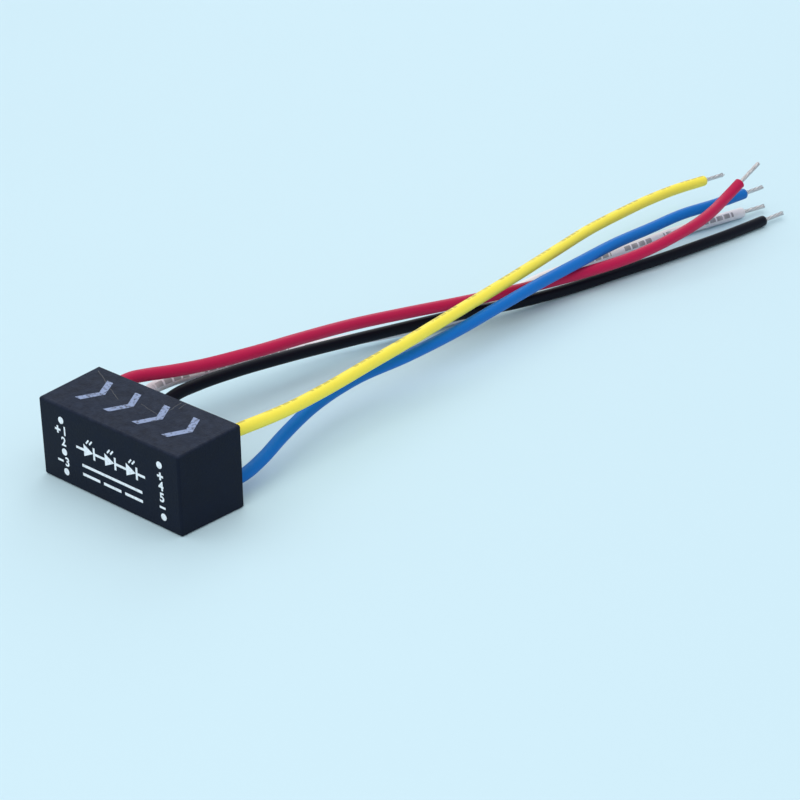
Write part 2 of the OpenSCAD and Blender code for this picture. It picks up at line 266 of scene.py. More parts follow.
def rounded_outline(y, inset, radius):
    """The case's outline at a depth, moved in by inset, with its corners rounded."""
    x = half_length(y) - inset - radius
    low = inset + radius
    high = top_height(y) - inset - radius
    points = []
    for corner_x, corner_z, start in ((x, low, -90), (x, high, 0), (-x, high, 90), (-x, low, 180)):
        for step in range(edge_steps + 1):
            angle = math.radians(start + 90 * step / edge_steps)
            points.append((
                corner_x + radius * math.cos(angle), y, corner_z + radius * math.sin(angle)
            ))
    return points


def post_outline(y, post_corner):
    """The cavity's outline at a depth with its ends set for the corner posts: each corner is the post's
    inner edge, or is left as the cavity's own rounded corner."""
    plain = rounded_outline(y, wall, inner_r)
    post_x = half_case_l - wall - post_w
    low = wall + post_w
    high = top_height(label_y) - wall - post_w
    end_x = half_length(y) - wall
    end_low = wall
    end_high = top_height(y) - wall
    corners = (
        ((post_x, end_low), (post_x, low), (end_x, low)),
        ((end_x, high), (post_x, high), (post_x, end_high)),
        ((-post_x, end_high), (-post_x, high), (-end_x, high)),
        ((-end_x, low), (-post_x, low), (-post_x, end_low)),
    )
    points = []
    for number, (first, inner, last) in enumerate(corners):
        start = number * (edge_steps + 1)
        middle = plain[start + 1:start + edge_steps]
        if post_corner:
            middle = [(inner[0], y, inner[1])] * len(middle)
        points += [(first[0], y, first[1]), *middle, (last[0], y, last[1])]
    return points


def case_rings():
    """Outlines from the label face over the outside, round the rim and down the inside to the floor."""
    rings = []
    for step in range(edge_steps + 1):
        angle = math.radians(90 * step / edge_steps)
        inset = edge_r * (1 - math.sin(angle))
        rings.append(rounded_outline(label_y + edge_r * (1 - math.cos(angle)), inset, edge_r - inset))
    rings.append(rounded_outline(rim_y - rim_break, 0.0, edge_r))
    rings.append(rounded_outline(rim_y, rim_break, edge_r - rim_break))
    rings.append(rounded_outline(rim_y, wall - rim_break, inner_r + rim_break))
    rings.append(rounded_outline(rim_y - rim_break, wall, inner_r))
    rings.append(post_outline(board_front_y, False))
    rings.append(post_outline(board_front_y, True))
    rings.append(post_outline(floor_y, True))
    return rings


def make_object(name, mesh_data, material, sharp_angle=40):
    """Turns a bmesh into a smooth-shaded object whose sharper edges stay crisp, riding on the part."""
    bmesh.ops.recalc_face_normals(mesh_data, faces=mesh_data.faces)
    for face in mesh_data.faces:
        face.smooth = True
    for edge in mesh_data.edges:
        edge.smooth = edge.calc_face_angle(0.0) < math.radians(sharp_angle)
    mesh = bpy.data.meshes.new(name)
    mesh_data.to_mesh(mesh)
    mesh_data.free()
    mesh.materials.append(material)
    piece = bpy.data.objects.new(name, mesh)
    bpy.context.scene.collection.objects.link(piece)
    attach(piece, "root")
    return piece


def loft(mesh_data, rings):
    """Joins rings of points into one closed skin with a face on each end."""
    loops = [[mesh_data.verts.new(point) for point in ring] for ring in rings]
    for near, far in zip(loops, loops[1:]):
        for i in range(len(near)):
            after = (i + 1) % len(near)
            mesh_data.faces.new((near[i], near[after], far[after], far[i]))
    mesh_data.faces.new(loops[0])
    mesh_data.faces.new(loops[-1])
    bmesh.ops.remove_doubles(mesh_data, verts=mesh_data.verts, dist=weld_gap)


# How far the scratches sway from a straight line, and over what length
sway_reach = 0.3 * MM
sway_length = 0.9 * MM


def make_hairline():
    """Mask of a scratch: 1 on a line between two points on the top, fading to 0 at its width."""
    group, given, result = start_group(
        "hairline",
        {"Position": "vector", "Start": "vector", "End": "vector", "Width": "value"},
        {"Mask": "value"},
    )

    def vector(operation, first, second, output="Vector"):
        node = add_node(group, "ShaderNodeVectorMath", {0: first, 1: second}, operation=operation)
        return node.outputs[output]

    noise = add_node(
        group, "ShaderNodeTexNoise",
        {"Vector": given.outputs["Position"], "Scale": 1 / sway_length, "Detail": 2.0},
    )
    waver = vector("SUBTRACT", noise.outputs["Color"], (0.5, 0.5, 0.5))
    sway = add_node(
        group, "ShaderNodeVectorMath",
        {0: waver, 1: (sway_reach,) * 3, 2: given.outputs["Position"]},
        operation="MULTIPLY_ADD",
    )
    place = vector("MULTIPLY", sway.outputs["Vector"], (1.0, 1.0, 0.0))
    line = vector("SUBTRACT", given.outputs["End"], given.outputs["Start"])
    offset = vector("SUBTRACT", place, given.outputs["Start"])
    share = maths(
        group, "DIVIDE",
        vector("DOT_PRODUCT", offset, line, "Value"), vector("DOT_PRODUCT", line, line, "Value"),
    )
    on_line = add_node(group, "ShaderNodeClamp", {"Value": share}).outputs["Result"]
    reach = add_node(group, "ShaderNodeVectorMath", {0: line, "Scale": on_line}, operation="SCALE")
    gap = vector("DISTANCE", offset, reach.outputs["Vector"], "Value")
    mask = add_node(
        group, "ShaderNodeMapRange",
        {"Value": gap, "From Min": 0.0, "From Max": given.outputs["Width"], "To Min": 1.0, "To Max": 0.0},
    )
    group.links.new(mask.outputs["Result"], result.inputs["Mask"])
    return group


hairline = make_hairline()

# Handling scratches on the top: start, end and width in millimetres
scratches = (
    ((-10.4, 3.7), (-6.7, 1.9), 0.06),
    ((-6.7, 1.9), (-3.5, 0.4), 0.05),
    ((2.6, 4.1), (3.0, 1.1), 0.06),
    ((3.0, 1.1), (3.4, -0.5), 0.05),
    ((3.4, 3.0), (3.2, 4.4), 0.06),
    ((-0.7, 1.3), (3.1, 0.5), 0.04),
)
scuffed_colour = (0.11, 0.115, 0.12, 1.0)
# Dust on faces that look up: partly real dust, partly a painted sheen whose bluish grey lightens the case's
# top in place of how it is lit
dust_and_sheen_colour = (0.11, 0.15, 0.26, 1.0)
dust_and_sheen_share = 0.08
dust_and_sheen_size = 1.2 * MM
# Noise levels at which the dust and painted sheen start and are thickest
dust_and_sheen_start = 0.3
dust_and_sheen_full = 0.7


def add_scuffs_dust_and_sheen(tree, colour):
    """Lays scratches and a film of dust over a colour, on faces that look up; the dust film also paints a
    lighter, bluer sheen that stands in for the light on the top. Returns the colour.
    """
    position = add_node(tree, "ShaderNodeTexCoord").outputs["Object"]
    facing = add_node(tree, "ShaderNodeNewGeometry").outputs["Normal"]
    upward = add_node(tree, "ShaderNodeSeparateXYZ", {"Vector": facing}).outputs["Z"]
    upward = add_node(tree, "ShaderNodeClamp", {"Value": upward}).outputs["Result"]
    marks = 0.0
    for start, end, width in scratches:
        mark = add_node(
            tree, "ShaderNodeGroup",
            {
                "Position": position, "Width": width * MM,
                "Start": (start[0] * MM, start[1] * MM, 0.0), "End": (end[0] * MM, end[1] * MM, 0.0),
            },
            node_tree=hairline,
        )
        marks = maths(tree, "MAXIMUM", mark.outputs["Mask"], marks)
    # Dust on faces that look up, which also paints a lighter sheen on the top in place of its light
    dust_and_sheen_noise = add_node(
        tree, "ShaderNodeTexNoise",
        {"Vector": position, "Scale": 1 / dust_and_sheen_size, "Detail": 6.0, "Roughness": 0.75},
    )
    dust_and_sheen_amount = add_node(
        tree, "ShaderNodeMapRange",
        {
            "Value": dust_and_sheen_noise.outputs["Fac"], "From Min": dust_and_sheen_start, "From Max": dust_and_sheen_full,
            "To Max": 2 * dust_and_sheen_share,
        },
    )
    dust_and_sheen_layer = maths(tree, "MULTIPLY", dust_and_sheen_amount.outputs["Result"], upward)
    with_dust_and_sheen = add_node(
        tree, "ShaderNodeMix", {0: dust_and_sheen_layer, 6: colour, 7: dust_and_sheen_colour}, data_type="RGBA"
    ).outputs[2]
    scuffed = add_node(
        tree, "ShaderNodeMix",
        {0: maths(tree, "MULTIPLY", marks, upward), 6: with_dust_and_sheen, 7: scuffed_colour},
        data_type="RGBA",
    )
    return scuffed.outputs[2]


case_colour = (0.0035, 0.007, 0.018)
case_plastic, case_surface, case_shader = finish_material(
    "case_plastic", case_colour, roughness=0.6, grain=0.2, patch=3.5, spread=(0.8, 0.2), bump=0.035,
    fixed={"Specular IOR Level": 0.14},
)
case_tree = case_plastic.node_tree
# Scratches, and a dust layer on the top that is partly painted sheen
case_tree.links.new(
    add_scuffs_dust_and_sheen(case_tree, case_surface.outputs["Color"]), case_shader.inputs["Base Color"]
)
case_mesh = bmesh.new()
loft(case_mesh, case_rings())
case = make_object("case_shell", case_mesh, case_plastic)
case.modifiers.new("flat_faces", "WEIGHTED_NORMAL").keep_sharp = True
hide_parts("case")

# Potting
# Black two-part resin, poured into the open rear over the board and cured.
# Its surface lies just below the rim and climbs a little up the walls and round each lead.
resin_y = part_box("potting")[1].y
resin_columns = 150
resin_rows = 66
creep_height = 0.28 * MM
creep_reach = 0.3 * MM
skin_t = 0.02 * MM
swell = 0.05 * MM
swell_length = 3.1 * MM
swell_width = 2.3 * MM
swell_shift = 1.0
lead_r = 0.75 * MM
# Where each lead leaves the resin: x and z in millimetres
lead_exits = {
    "red": (-8.7, 8.31),
    "white": (-7.4, 4.2),
    "black": (-7.4, 1.6),
    "yellow": (8.3, 7.5),
    "blue": (8.3, 1.6),
}


def resin_level(x, z, half_l, low, high):
    """Depth of the resin's surface at a place across the rear."""
    to_wall = min(half_l - abs(x), z - low, high - z)
    climb = math.exp(-max(to_wall, 0.0) / creep_reach)
    for exit_x, exit_z in lead_exits.values():
        to_lead = math.hypot(x - exit_x * MM, z - exit_z * MM) - lead_r
        climb = max(climb, math.exp(-max(to_lead, 0.0) / creep_reach))
    wave = math.sin(x / swell_length) * math.cos(z / swell_width + swell_shift)
    return resin_y + skin_t + creep_height * climb + swell * (0.5 + 0.5 * wave) * (1 - climb)


def resin_skin(mesh_data):
    """The resin's top skin: a grid of surface points, closed below by a flat face on the poured block."""
    half_l = half_length(resin_y) - wall
    low = wall
    high = top_height(resin_y) - wall
    heights = [low + (high - low) * j / resin_rows for j in range(resin_rows + 1)]
    grid = []
    for i in range(resin_columns + 1):
        x = half_l * (2 * i / resin_columns - 1)
        grid.append([mesh_data.verts.new((x, resin_level(x, z, half_l, low, high), z)) for z in heights])
    for i in range(resin_columns):
        for j in range(resin_rows):
            mesh_data.faces.new((grid[i][j], grid[i + 1][j], grid[i + 1][j + 1], grid[i][j + 1]))
    border = [grid[i][0] for i in range(resin_columns)]
    border += [grid[resin_columns][j] for j in range(resin_rows)]
    border += [grid[i][resin_rows] for i in range(resin_columns, 0, -1)]
    border += [grid[0][j] for j in range(resin_rows, 0, -1)]
    below = [mesh_data.verts.new((v.co.x, resin_y, v.co.z)) for v in border]
    for i in range(len(border)):
        after = (i + 1) % len(border)
        mesh_data.faces.new((border[i], border[after], below[after], below[i]))
    mesh_data.faces.new(below)


potting_resin, _, _ = finish_material(
    "potting_resin", colour=(0.007, 0.007, 0.008), roughness=0.3, grain=0.25, patch=2.2,
    spread=(0.4, 0.25), bump=0.006, fixed={"Specular IOR Level": 0.4},
)
dress("potting", potting_resin)
resin_mesh = bmesh.new()
resin_skin(resin_mesh)
resin = make_object("resin_skin", resin_mesh, potting_resin, sharp_angle=60)

# Leads
# Five stranded hook-up wires in coloured PVC, extruded over the strands and cut to about one length.
# They are soldered to the board, held by the resin, and lie loosely across each other on the table.
lead_sides = 24
lead_steps = 12
core_r = 0.3 * MM
bore_r = 0.33 * MM
bore_depth = 0.8 * MM
cut_break = 0.06 * MM
straight_out = 0.6 * MM
board_rear_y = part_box("circuit_board")[1].y
# Bends of each lead from the case to its cut end, in millimetres
lead_bends = {
    "red": (
        (-8.7, 7, 8.3), (-8.3, 9, 8.1), (-7.6, 11.5, 7.8), (-6.6, 15, 7.5), (-4.1, 21, 7.8),
        (-3.4, 29, 7.2), (-3.3, 38, 6), (-2.4, 47, 4.8), (-0.8, 56, 3.8), (1.3, 65, 3.2), (3.8, 74, 3.1),
        (6.4, 83, 3.6), (7.7, 91, 4.5), (7.7, 98, 5.2), (7, 104.5, 6.4), (7.2, 106.8, 7.5),
    ),
    "white": (
        (-8.2, 7.5, 4.8), (-9.2, 10, 5.5), (-9.4, 13, 5.5), (-9.4, 17, 5), (-9.3, 21, 4.5),
        (-8.7, 29, 3.3), (-7.8, 38, 2), (-5.4, 47, 1.2), (-2.9, 56, 0.8), (-2.4, 65, 0.8), (-2.4, 74, 0.8),
        (-1.1, 83, 0.8), (0.3, 91, 0.8), (1.3, 98, 0.8), (2.7, 104.5, 0.8), (4.5, 112.3, 0.8),
    ),
    "black": (
        (-7.6, 7.5, 2.4), (-7.8, 10, 3.7), (-7.8, 12.5, 4.4), (-7.7, 16, 4.5), (-7.2, 21, 4.4),
        (-6, 29, 4), (-4.8, 38, 3.2), (-3.2, 47, 2.5), (-1.1, 56, 2), (1, 65, 1.2), (2.7, 74, 0.8),
        (4.4, 83, 0.8), (5.9, 91, 0.8), (7, 98, 0.8), (7.9, 104.5, 0.8), (8.6, 111.5, 0.8),
    ),
    "yellow": (
        (8.4, 8, 7.4), (8.4, 11, 7.2), (8.3, 15, 7), (7.9, 21, 6.9), (7, 29, 6.8),
        (6, 38, 6.7), (4.8, 47, 6.6), (3.5, 56, 6.4), (2, 65, 6.1), (0.4, 74, 5.8),
        (-1, 83, 5.6), (-1.8, 91, 5.3), (-2.2, 98, 5.1), (-2.1, 104.5, 4.9), (-1.5, 111, 4.6),
    ),
    "blue": (
        (8.2, 8, 1.7), (7.7, 11, 2.1), (6.8, 15, 2.9), (5.7, 21, 3.9), (5, 29, 4.4),
        (5.4, 38, 4.4), (5.5, 47, 4.6), (5, 56, 4.8), (4.4, 65, 4.9), (3.8, 74, 4.8),
        (3.2, 83, 4.6), (3.1, 91, 4.3), (3.7, 98, 4.5), (4.8, 104.5, 4.4), (5.3, 111.1, 4.2),
    ),
}
# Colour of each lead's insulation
lead_colours = {
    "red": (0.48, 0.007, 0.064),
    "white": (0.82, 0.78, 0.82),
    "black": (0.004, 0.005, 0.011),
    "yellow": (1.0, 0.83, 0.085),
    "blue": (0.004, 0.15, 0.52),
}
lead_sheen = {"red": 0.16, "white": 0.14, "black": 0.08, "yellow": 0.16, "blue": 0.12}
# Printed legend of a lead: its place round the lead, as a share of a turn, and how much of the ink is left
lead_legends = {"white": (0.1, 0.6), "yellow": (0.3, 0.4)}
# The legend's height is a share of a turn, and its blocks and groups repeat in millimetres along the lead
legend_height = 0.15
block_pitch = 1.4
block_share = 0.78
group_pitch = 8.0
group_share = 0.7
legend_ink = (0.05, 0.045, 0.05, 1.0)
# Noise levels at which the ink is gone and whole, and how quickly they change along the lead
ink_gone = 0.25
ink_whole = 0.5
rub_scale = 0.3


def route_of(name):
    """A lead's route: straight out from the board's rear through the resin, then its bends."""
    x, z = lead_exits[name]
    start = Vector((x * MM, board_rear_y, z * MM))
    leaving = Vector((x * MM, rim_y + straight_out, z * MM))
    return [start, leaving] + [Vector(bend) * MM for bend in lead_bends[name]]


def smooth_path(points):
    """A smooth curve through points: cubic pieces whose headings blend the stretches on both sides."""
    spans = [(b - a).length for a, b in zip(points, points[1:])]
    aims = [(b - a) / span for a, b, span in zip(points, points[1:], spans)]
    headings = [aims[0]]
    for i in range(1, len(aims)):
        headings.append((aims[i - 1] * spans[i] + aims[i] * spans[i - 1]) / (spans[i] + spans[i - 1]))
    headings.append(aims[-1])
    path = []
    for i, span in enumerate(spans):
        for step in range(lead_steps):
            t = step / lead_steps
            path.append(
                points[i] * (2 * t ** 3 - 3 * t ** 2 + 1)
                + headings[i] * span * (t ** 3 - 2 * t ** 2 + t)
                + points[i + 1] * (3 * t ** 2 - 2 * t ** 3)
                + headings[i + 1] * span * (t ** 3 - t ** 2)
            )
    return path + [points[-1]]


def heading_at(path, i):
    """Direction of a path at one of its points."""
    return (path[min(i + 1, len(path) - 1)] - path[max(i - 1, 0)]).normalized()


def sweep(mesh_data, stations, sides):
    """Adds a closed round tube through stations of centre, heading and radius. Its texture coordinates run
    in millimetres along the tube and from 0 to 1 round it."""
    layers = mesh_data.loops.layers.uv
    layer = layers.get("along") or layers.new("along")
    loops = []
    distances = [0.0]
    for number, (centre, heading, radius) in enumerate(stations):
        side = heading.cross(Vector((0, 0, 1))).normalized()
        rise = side.cross(heading)
        turns = [math.tau * k / sides for k in range(sides)]
        loops.append([
            mesh_data.verts.new(centre + radius * (math.cos(a) * side + math.sin(a) * rise)) for a in turns
        ])
        if number:
            last_centre, _, last_radius = stations[number - 1]
            step = (centre - last_centre).length + abs(radius - last_radius)
            distances.append(distances[-1] + step / MM)
    for i in range(len(loops) - 1):
        for k in range(sides):
            after = (k + 1) % sides
            face = mesh_data.faces.new((loops[i][k], loops[i][after], loops[i + 1][after], loops[i + 1][k]))
            corners = ((i, k), (i, k + 1), (i + 1, k + 1), (i + 1, k))
            for loop, (ring, turn) in zip(face.loops, corners):
                loop[layer].uv = (distances[ring], turn / sides)
    mesh_data.faces.new(reversed(loops[0]))
    mesh_data.faces.new(loops[-1])


def lead_stations(path):
    """Stations of a lead: along its path, over the cut end and back into the bore round the strands."""
    stations = [(point, heading_at(path, i), lead_r) for i, point in enumerate(path)]
    end = path[-1]
    heading = (path[-1] - path[-2]).normalized()
    stations[-1] = (end - heading * cut_break, heading, lead_r)
    stations.append((end, heading, lead_r - cut_break))
    stations.append((end, heading, bore_r))
    stations.append((end - heading * bore_depth, heading, bore_r))
    return stations


def make_legend():
    """Mask of a worn ink legend printed along a lead: blocks in spaced groups, with no letters in them."""
    group, given, result = start_group(
        "legend",
        {
            "Along": "vector", "Row": "value", "Row Height": "value", "Block": "value", "Group": "value",
            "Strength": "value",
        },
        {"Mask": "value"},
    )
    parts = add_node(group, "ShaderNodeSeparateXYZ", {"Vector": given.outputs["Along"]})
    along = parts.outputs["X"]
    off_row = maths(group, "ABSOLUTE", maths(group, "SUBTRACT", parts.outputs["Y"], given.outputs["Row"]))
    in_row = maths(group, "LESS_THAN", off_row, maths(group, "DIVIDE", given.outputs["Row Height"], 2.0))
    block_place = maths(group, "DIVIDE", along, given.outputs["Block"])
    in_block = maths(group, "LESS_THAN", maths(group, "FRACT", block_place), block_share)
    group_place = maths(group, "FRACT", maths(group, "DIVIDE", along, given.outputs["Group"]))
    in_group = maths(group, "LESS_THAN", group_place, group_share)
    noise = add_node(
        group, "ShaderNodeTexNoise",
        {"Vector": given.outputs["Along"], "Scale": rub_scale, "Detail": 0.0},
    )
    worn = add_node(
        group, "ShaderNodeMapRange",
        {"Value": noise.outputs["Fac"], "From Min": ink_gone, "From Max": ink_whole},
    ).outputs["Result"]
    mask = given.outputs["Strength"]
    for share in (in_row, in_block, in_group, worn):
        mask = maths(group, "MULTIPLY", mask, share)
    group.links.new(mask, result.inputs["Mask"])
    return group


legend = make_legend()


def insulation_material(name):
    """Satin PVC with faint streaks along the lead, and the printed legend where it shows."""
    material, surface, shader = finish_material(
        name + "_insulation", lead_colours[name], roughness=0.4, grain=0.12, patch=6.0,
        spread=(0.12, 0.12), bump=0.006, fixed={"Specular IOR Level": lead_sheen[name]}, uv=True,
    )
    if name in lead_legends:
        row, strength = lead_legends[name]
        tree = material.node_tree
        along = add_node(tree, "ShaderNodeUVMap", uv_map="along").outputs["UV"]
        print_row = add_node(
            tree, "ShaderNodeGroup",
            {
                "Along": along, "Row": row, "Row Height": legend_height, "Block": block_pitch,
                "Group": group_pitch, "Strength": strength,
            },
            node_tree=legend,
        )
        printed = add_node(
            tree, "ShaderNodeMix",
            {0: print_row.outputs["Mask"], 6: surface.outputs["Color"], 7: legend_ink},
            data_type="RGBA",
        )
        tree.links.new(printed.outputs[2], shader.inputs["Base Color"])
    return material


# Bare lead ends
# The last millimetres of each core, stripped, twisted and dipped in tin by the maker.
# Seven strands, one in the middle, lie in a slow twist, and the tin fills the grooves between them.
strip_l = 4.5 * MM
strand_count = 7
strand_r = core_r / 3
strand_sides = 10
strand_steps = 24
twist_pitch = 7.0 * MM
splay = 0.03 * MM
ragged = 0.35 * MM
tin_r = 0.235 * MM
tin_swell = 0.035 * MM
tin_waves = 2.5
# The tin's round end: its radii, and the step between them, as shares of the tin's radius
tin_end_radii = (0.85, 0.5)
tin_end_step = 0.4
tinned_strand, _, _ = finish_material(
    "tinned_strand", colour=(0.56, 0.55, 0.56), roughness=0.18, grain=0.12, patch=0.6,
    spread=(0.5, 0.3), bump=0.008, fixed=bare_metal,
)


def strand_path(base, heading, number, dice):
    """Centre line of one strand, from inside the insulation's end to the tip."""
    side = heading.cross(Vector((0, 0, 1))).normalized()
    rise = side.cross(heading)
    offset = 0.0 if number == 0 else 2 * strand_r
    start_angle = math.tau * number / (strand_count - 1)
    length = strip_l + bore_depth / 2 - dice.uniform(0.0, ragged)
    spread = dice.uniform(0.0, splay)
    path = []
    for step in range(strand_steps + 1):
        share = step / strand_steps
        angle = start_angle + math.tau * length * share / twist_pitch
        outward = math.cos(angle) * side + math.sin(angle) * rise
        path.append(base + heading * length * share + outward * (offset + spread * share ** 3))
    return path


def tin_stations(base, heading, phase):
    """Stations of the tin between the strands: its radius swells in slow waves, and its end is round."""
    length = strip_l + bore_depth / 2 - ragged
    stations = []
    for step in range(strand_steps + 1):
        share = step / strand_steps
        radius = tin_r + tin_swell * math.sin(math.tau * (tin_waves * share + phase))
        stations.append((base + heading * length * share, heading, radius))
    end = stations[-1][0]
    for radius in tin_end_radii:
        end = end + heading * tin_r * tin_end_step
        stations.append((end, heading, tin_r * radius))
    return stations


def make_tip(name, end, heading, seed):
    """The bare end of a lead: twisted strands with the tin between them."""
    dice = random.Random(seed)
    mesh_data = bmesh.new()
    base = end - heading * bore_depth / 2
    sweep(mesh_data, tin_stations(base, heading, dice.random()), lead_sides)
    for number in range(strand_count):
        path = strand_path(base, heading, number, dice)
        stations = [(point, heading_at(path, i), strand_r) for i, point in enumerate(path)]
        last, last_heading, _ = stations[-1]
        stations.append((last + last_heading * strand_r / 2, last_heading, strand_r / 2))
        sweep(mesh_data, stations, strand_sides)
    tip = make_object(name + "_strands", mesh_data, tinned_strand, sharp_angle=70)
    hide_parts(name + "_lead_tip")
    return tip


for seed, name in enumerate(lead_bends):
    path = smooth_path(route_of(name))
    lead_mesh = bmesh.new()
    sweep(lead_mesh, lead_stations(path), lead_sides)
    lead = make_object(name + "_wire", lead_mesh, insulation_material(name), sharp_angle=50)
    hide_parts(name + "_lead")
    tip = make_tip(name, path[-1], (path[-1] - path[-2]).normalized(), seed)

# Label printing
# White ink pad-printed on the label face: a dot and a number for each lead, the signs of the poles, and the
# wiring signs of direct current and of a string of light-emitting diodes. Outlines are in millimetres.
ink_t = 0.012 * MM
ink_sink = 0.01 * MM
speck_size = 0.35 * MM
# Noise levels at which a speck starts and is rubbed through
speck_start = 0.5
speck_full = 0.35


def make_worn_ink():
    """Ink rubbed thin in specks, where the plastic below shows through its colour."""
    group, given, result = start_group(
        "worn_ink",
        {"Position": "vector", "Ink": "colour", "Plastic": "colour", "Speck": "value", "Wear": "value"},
        {"Color": "colour"},
    )
    noise = add_node(
        group, "ShaderNodeTexNoise",
        {
            "Vector": given.outputs["Position"], "Detail": 4.0,
            "Scale": maths(group, "DIVIDE", 1.0, given.outputs["Speck"]),
        },
    )
    bare = add_node(
        group, "ShaderNodeMapRange",
        {
            "Value": noise.outputs["Fac"], "From Min": speck_start, "From Max": speck_full,
            "To Min": 0.0, "To Max": given.outputs["Wear"],
        },
    )
    left = add_node(
        group, "ShaderNodeMix",
        {0: bare.outputs["Result"], 6: given.outputs["Ink"], 7: given.outputs["Plastic"]},
        data_type="RGBA",
    )
    group.links.new(left.outputs[2], result.inputs["Color"])
    return group


worn_ink = make_worn_ink()


def ink_material(name, colour, wear):
    """A printing ink on the case, rubbed through to the plastic in specks."""
    material, surface, shader = finish_material(
        name, colour, roughness=0.5, grain=0.12, patch=0.8, spread=(0.2, 0.1), bump=0.004
    )
    tree = material.node_tree
    position = add_node(tree, "ShaderNodeTexCoord").outputs["Object"]
    rubbed = add_node(
        tree, "ShaderNodeGroup",
        {
            "Position": position, "Ink": surface.outputs["Color"], "Plastic": (*case_colour, 1.0),
            "Speck": speck_size, "Wear": wear,
        },
        node_tree=worn_ink,
    )
    tree.links.new(rubbed.outputs["Color"], shader.inputs["Base Color"])
    return material


white_ink = ink_material("white_ink", colour=(0.86, 0.92, 0.97), wear=0.2)


def disc(x, z, radius, sides=28):
    """Outline of a dot."""
    return [
        (x + radius * math.cos(math.tau * k / sides), z + radius * math.sin(math.tau * k / sides))
        for k in range(sides)
    ]


def bar(x, z, length, height):
    """Outline of a bar round its middle."""
    return [
        (x - length / 2, z - height / 2), (x + length / 2, z - height / 2),
        (x + length / 2, z + height / 2), (x - length / 2, z + height / 2),
    ]


def stroke(start, end, width):
    """Outline of a straight stroke from one point to another."""
    along = (Vector(end) - Vector(start)).normalized()
    across = Vector((-along.y, along.x)) * width / 2
    return [tuple(p) for p in (
        Vector(start) - across, Vector(end) - across, Vector(end) + across, Vector(start) + across
    )]


def on_label(x, z, height):
    """A place on the label face, from millimetres, at a height above it."""
    return Vector((x * MM, label_y - height, z * MM))


def on_top(x, y, height):
    """A place on the case's top, from millimetres, at a height above it."""
    return Vector((x * MM, y * MM, top_height(y * MM) + height))


def ink_piece(name, outlines, place, material):
    """Thin flat prints on a face, one for each outline."""
    mesh_data = bmesh.new()
    for outline in outlines:
        upper = [mesh_data.verts.new(place(u, v, ink_t)) for u, v in outline]
        lower = [mesh_data.verts.new(place(u, v, -ink_sink)) for u, v in outline]
        for i in range(len(outline)):
            after = (i + 1) % len(outline)
            mesh_data.faces.new((upper[i], upper[after], lower[after], lower[i]))
        mesh_data.faces.new(upper)
        mesh_data.faces.new(reversed(lower))
    return make_object(name, mesh_data, material)


dot_r = 0.42
lead_dots = ((-7.5, 7.7), (-7.3, 3.9), (-7.2, 1.5), (8.15, 7.6), (8.4, 1.5))
ink_piece("lead_dots", [disc(x, z, dot_r) for x, z in lead_dots], on_label, white_ink)

sign_w = 0.26
sign_size = 0.9


def plus_sign(x, z):
    """Outlines of a plus sign: a bar, and two short strokes that meet it."""
    reach = sign_size / 2
    return [
        bar(x, z, sign_size, sign_w),
        stroke((x, z - reach), (x, z - sign_w / 2), sign_w),
        stroke((x, z + sign_w / 2), (x, z + reach), sign_w),
    ]


plus_places = ((8.2, 6.3), (-8.15, 6.45))
minus_places = ((8.3, 2.6), (-8.05, 2.7))
pole_signs = []
for x, z in plus_places:
    pole_signs += plus_sign(x, z)
pole_signs += [bar(x, z, sign_size, sign_w) for x, z in minus_places]
ink_piece("pole_signs", pole_signs, on_label, white_ink)


line_w = 0.3
diode_size = 1.5
# Two short rays of light over each diode: their starts beside its middle, their lean and their heights
ray_starts = (-0.3, 0.225)
ray_lean = 0.45
ray_low = 0.93
ray_high = 1.425
ray_w = 0.21


def diode_sign(x, z):
    """A light-emitting diode's wiring sign: outlines round its middle point."""
    half = diode_size / 2
    outlines = [
        [(x - half, z - half), (x + half, z), (x - half, z + half)],
        bar(x + half + line_w / 2, z, line_w, diode_size),
    ]
    for start in ray_starts:
        low_end = (x + start, z + ray_low)
        high_end = (x + start + ray_lean, z + ray_high)
        outlines.append(stroke(low_end, high_end, ray_w))
    return outlines


string_z = 5.3
diode_places = (-3.2, 0.2, 3.6)
string_start = -5.2
string_end = 5.8
string_sign = []
for x in diode_places:
    string_sign += diode_sign(x, string_z)
    diode_start = x - diode_size / 2
    string_sign.append(bar((string_start + diode_start) / 2, string_z, diode_start - string_start, line_w))
    string_start = x + diode_size / 2 + line_w
string_sign.append(bar((string_start + string_end) / 2, string_z, string_end - string_start, line_w))
ink_piece("diode_string_sign", string_sign, on_label, white_ink)

supply_x = 0.4
supply_line_w = 0.34
supply_line_l = 9.6
supply_line_z = 3.3
supply_dash_l = 2.8
supply_dash_z = 2.2
supply_dash_pitch = 3.4
supply_sign = [bar(supply_x, supply_line_z, supply_line_l, supply_line_w)]
for place in (-1, 0, 1):
    dash_x = supply_x + supply_dash_pitch * place
    supply_sign.append(bar(dash_x, supply_dash_z, supply_dash_l, supply_line_w))
ink_piece("direct_current_sign", supply_sign, on_label, white_ink)

number_height = 1.5
number_weight = 0.04
lead_numbers = {"1": (-7.0, 6.45), "2": (-7.3, 5.12), "3": (-6.95, 2.7), "4": (8.25, 5.1), "5": (8.3, 3.75)}
for text, (x, z) in lead_numbers.items():
    letters = bpy.data.curves.new("number_" + text, "FONT")
    letters.body = text
    letters.size = number_height * MM
    letters.align_x = "CENTER"
    letters.align_y = "CENTER"
    letters.extrude = (ink_t + ink_sink) / 2
    letters.offset = number_weight * MM
    letters.materials.append(white_ink)
    number = bpy.data.objects.new("number_" + text, letters)
    place = on_label(x, z, (ink_t - ink_sink) / 2)
    number.matrix_world = Matrix.Translation(place) @ Matrix.Rotation(math.pi / 2, 4, "X")
    bpy.context.scene.collection.objects.link(number)
    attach(number, "root")

